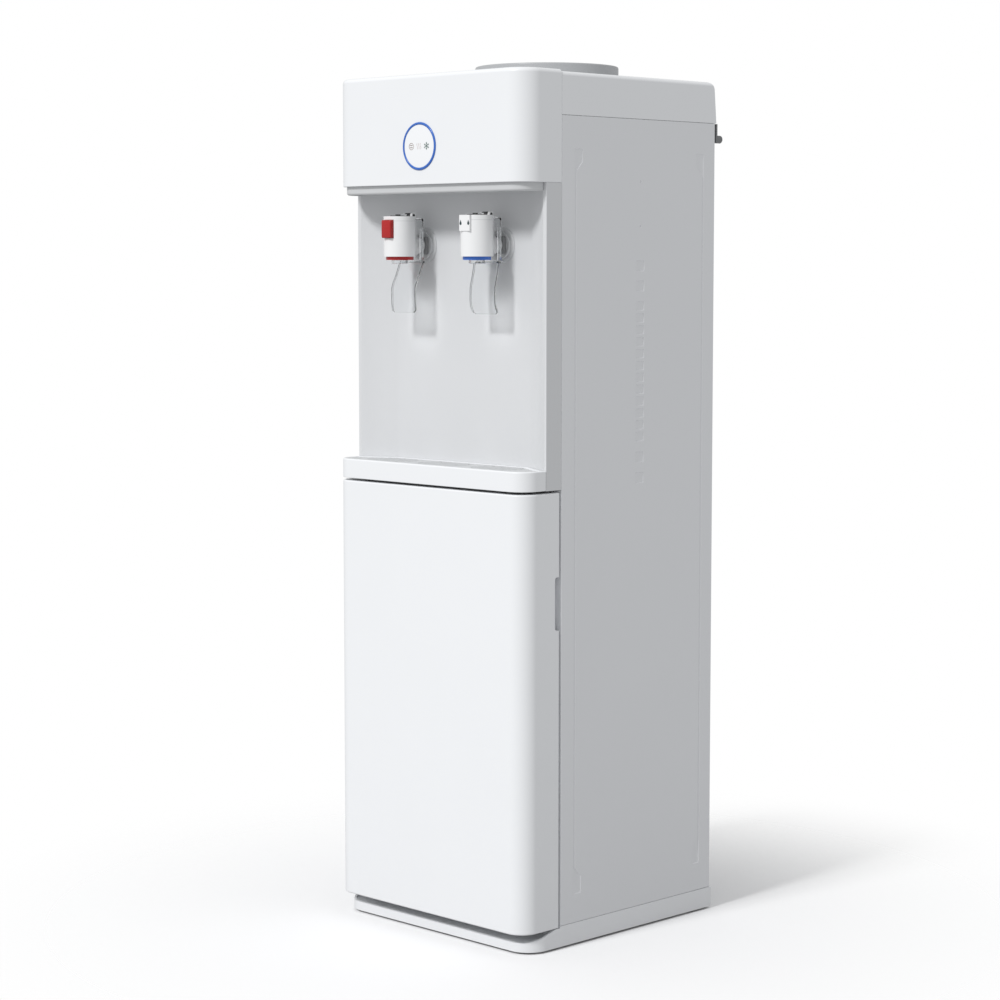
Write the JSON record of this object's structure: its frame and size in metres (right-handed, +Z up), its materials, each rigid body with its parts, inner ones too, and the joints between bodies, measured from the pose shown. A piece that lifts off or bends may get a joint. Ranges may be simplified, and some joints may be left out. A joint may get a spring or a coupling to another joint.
{
  "type": "bottled water dispenser",
  "caption": "Floor-standing top-load bottle water dispenser with hot and cold taps, a drip tray, a status indicator and a lower cabinet with a hinged door.",
  "frame": {"origin": "centre of the overall box's footprint, at floor level under the feet", "axes": "+Z up, -Y towards the user (door, taps and tray), +X to the right as seen from the front, the side of the door's finger pull"},
  "size_m": [0.3, 0.3264, 0.97],
  "materials": {
    "shell_white": "semi-gloss moulded",
    "feet_rubber": "matte",
    "sheet_grey": "satin powder coat",
    "trim_grey": "satin moulded",
    "ring_blue": "gloss",
    "lens_white": "gloss, icons printed in faint colour",
    "board_green": "solder mask",
    "liner_white": "vacuum-formed",
    "wire_steel": "bright wire",
    "zinc_steel": "zinc plated",
    "catch_black": "fine texture",
    "gasket_grey": "matte",
    "wall_plate_grey": "semi-gloss",
    "tap_white": "gloss",
    "hot_red": "gloss",
    "cold_blue": "gloss",
    "clear_plastic": "clear moulded",
    "valve_rubber": "silicone",
    "collar_grey": "satin",
    "tank_steel": "drawn stainless",
    "copper_tube": "drawn copper",
    "foam_ivory": "expanded foam",
    "hose_clear": "silicone hose",
    "compressor_black": "semi-gloss enamel",
    "coil_black": "satin enamel",
    "rocker_green": "gloss",
    "spacer_grey": "moulded"
  },
  "bodies": {
    "cabinet": {"base_plinth": "shell_white", "feet": "feet_rubber", "side_panel_left": "sheet_grey", "side_panel_right": "sheet_grey", "rear_panel": "sheet_grey", "top_cover": "shell_white", "head_fascia": "shell_white", "head_trim": "trim_grey", "light_ring": "ring_blue", "indicator_lens": "lens_white", "indicator_board": "board_green", "niche_panel": "shell_white", "cabinet_liner": "liner_white", "cabinet_shelf": "wire_steel", "hinge_bracket_upper": "zinc_steel", "hinge_bracket_lower": "zinc_steel", "magnet_catch": "catch_black", "hot_escutcheon": "wall_plate_grey", "cold_escutcheon": "wall_plate_grey", "hot_shank": "tap_white", "cold_shank": "tap_white", "hot_tap_body": "tap_white", "cold_tap_body": "tap_white", "hot_tap_ring": "hot_red", "cold_tap_ring": "cold_blue", "hot_nozzle": "clear_plastic", "cold_nozzle": "clear_plastic", "tank_frame": "zinc_steel", "cold_tank": "tank_steel", "evaporator_coil": "copper_tube", "tank_insulation": "foam_ivory", "hot_tank": "tank_steel", "heater_band": "zinc_steel", "thermostats": "catch_black", "water_hoses": "hose_clear", "compressor": "compressor_black", "compressor_grommets": "feet_rubber", "refrigerant_pipes": "copper_tube", "condenser": "coil_black", "switch_bezel": "catch_black", "drain_fitting": "tap_white", "cable_gland": "catch_black", "wall_spacers": "spacer_grey"},
    "door": {"door_panel": "shell_white", "door_liner": "liner_white", "door_gasket": "gasket_grey", "door_keeper": "zinc_steel"},
    "hot_lever": {"hot_lever": "clear_plastic"},
    "cold_lever": {"cold_lever": "clear_plastic"},
    "hot_valve": {"hot_plunger": "valve_rubber"},
    "cold_valve": {"cold_plunger": "valve_rubber"},
    "lock": {"lock_button": "hot_red"},
    "drip_tray": {"drip_tray": "shell_white"},
    "drip_grille": {"drip_grille": "trim_grey"},
    "bottle_seat": {"bottle_collar": "collar_grey", "water_probe": "tap_white"},
    "rocker_hot": {"rocker_hot": "hot_red"},
    "rocker_cold": {"rocker_cold": "rocker_green"},
    "drain_cap": {"drain_cap": "tap_white"}
  },
  "joints": [
    {"name": "door_hinge", "type": "hinge", "parent": "cabinet", "child": "door", "pos_m": [-0.143, -0.1118, 0.26], "axis": [0, 0, -1], "range_deg": [0, 100]},
    {"name": "hot_lever_pivot", "type": "hinge", "parent": "cabinet", "child": "hot_lever", "pos_m": [-0.0615, -0.1278, 0.8015], "axis": [1, 0, 0], "range_deg": [0, 10], "stiffness_Nm_per_rad": 0.6, "springref_deg": -14.32},
    {"name": "cold_lever_pivot", "type": "hinge", "parent": "cabinet", "child": "cold_lever", "pos_m": [0.0615, -0.1278, 0.8015], "axis": [1, 0, 0], "range_deg": [0, 10], "stiffness_Nm_per_rad": 0.6, "springref_deg": -14.32},
    {"name": "hot_valve_slide", "type": "slide", "parent": "cabinet", "child": "hot_valve", "axis": [0, 0, -1], "range_m": [0, 0.0025]},
    {"name": "cold_valve_slide", "type": "slide", "parent": "cabinet", "child": "cold_valve", "axis": [0, 0, -1], "range_m": [0, 0.0025]},
    {"name": "lock_slide", "type": "slide", "parent": "cabinet", "child": "lock", "axis": [0, 1, 0], "range_m": [0, 0.003], "stiffness_N_per_m": 400, "springref_m": -0.003},
    {"name": "tray_slide", "type": "slide", "parent": "cabinet", "child": "drip_tray", "axis": [0, -1, 0], "range_m": [0, 0.06]},
    {"name": "grille_lift", "type": "slide", "parent": "drip_tray", "child": "drip_grille", "axis": [0, 0, 1], "range_m": [0, 0.03]},
    {"name": "seat_lift", "type": "slide", "parent": "cabinet", "child": "bottle_seat", "axis": [0, 0, 1], "range_m": [0, 0.08]},
    {"name": "rocker_hot_pivot", "type": "hinge", "parent": "cabinet", "child": "rocker_hot", "pos_m": [0.071, 0.1462, 0.852], "axis": [1, 0, 0], "range_deg": [0, 14]},
    {"name": "rocker_cold_pivot", "type": "hinge", "parent": "cabinet", "child": "rocker_cold", "pos_m": [0.093, 0.1462, 0.852], "axis": [1, 0, 0], "range_deg": [0, 14]},
    {"name": "cap_pull", "type": "slide", "parent": "cabinet", "child": "drain_cap", "axis": [0, 1, 0], "range_m": [0, 0.02]}
  ],
  "couplings": [
    {"joint": "hot_valve_slide", "follows": "hot_lever_pivot", "m_per_rad": 0.014},
    {"joint": "cold_valve_slide", "follows": "cold_lever_pivot", "m_per_rad": 0.014}
  ]
}
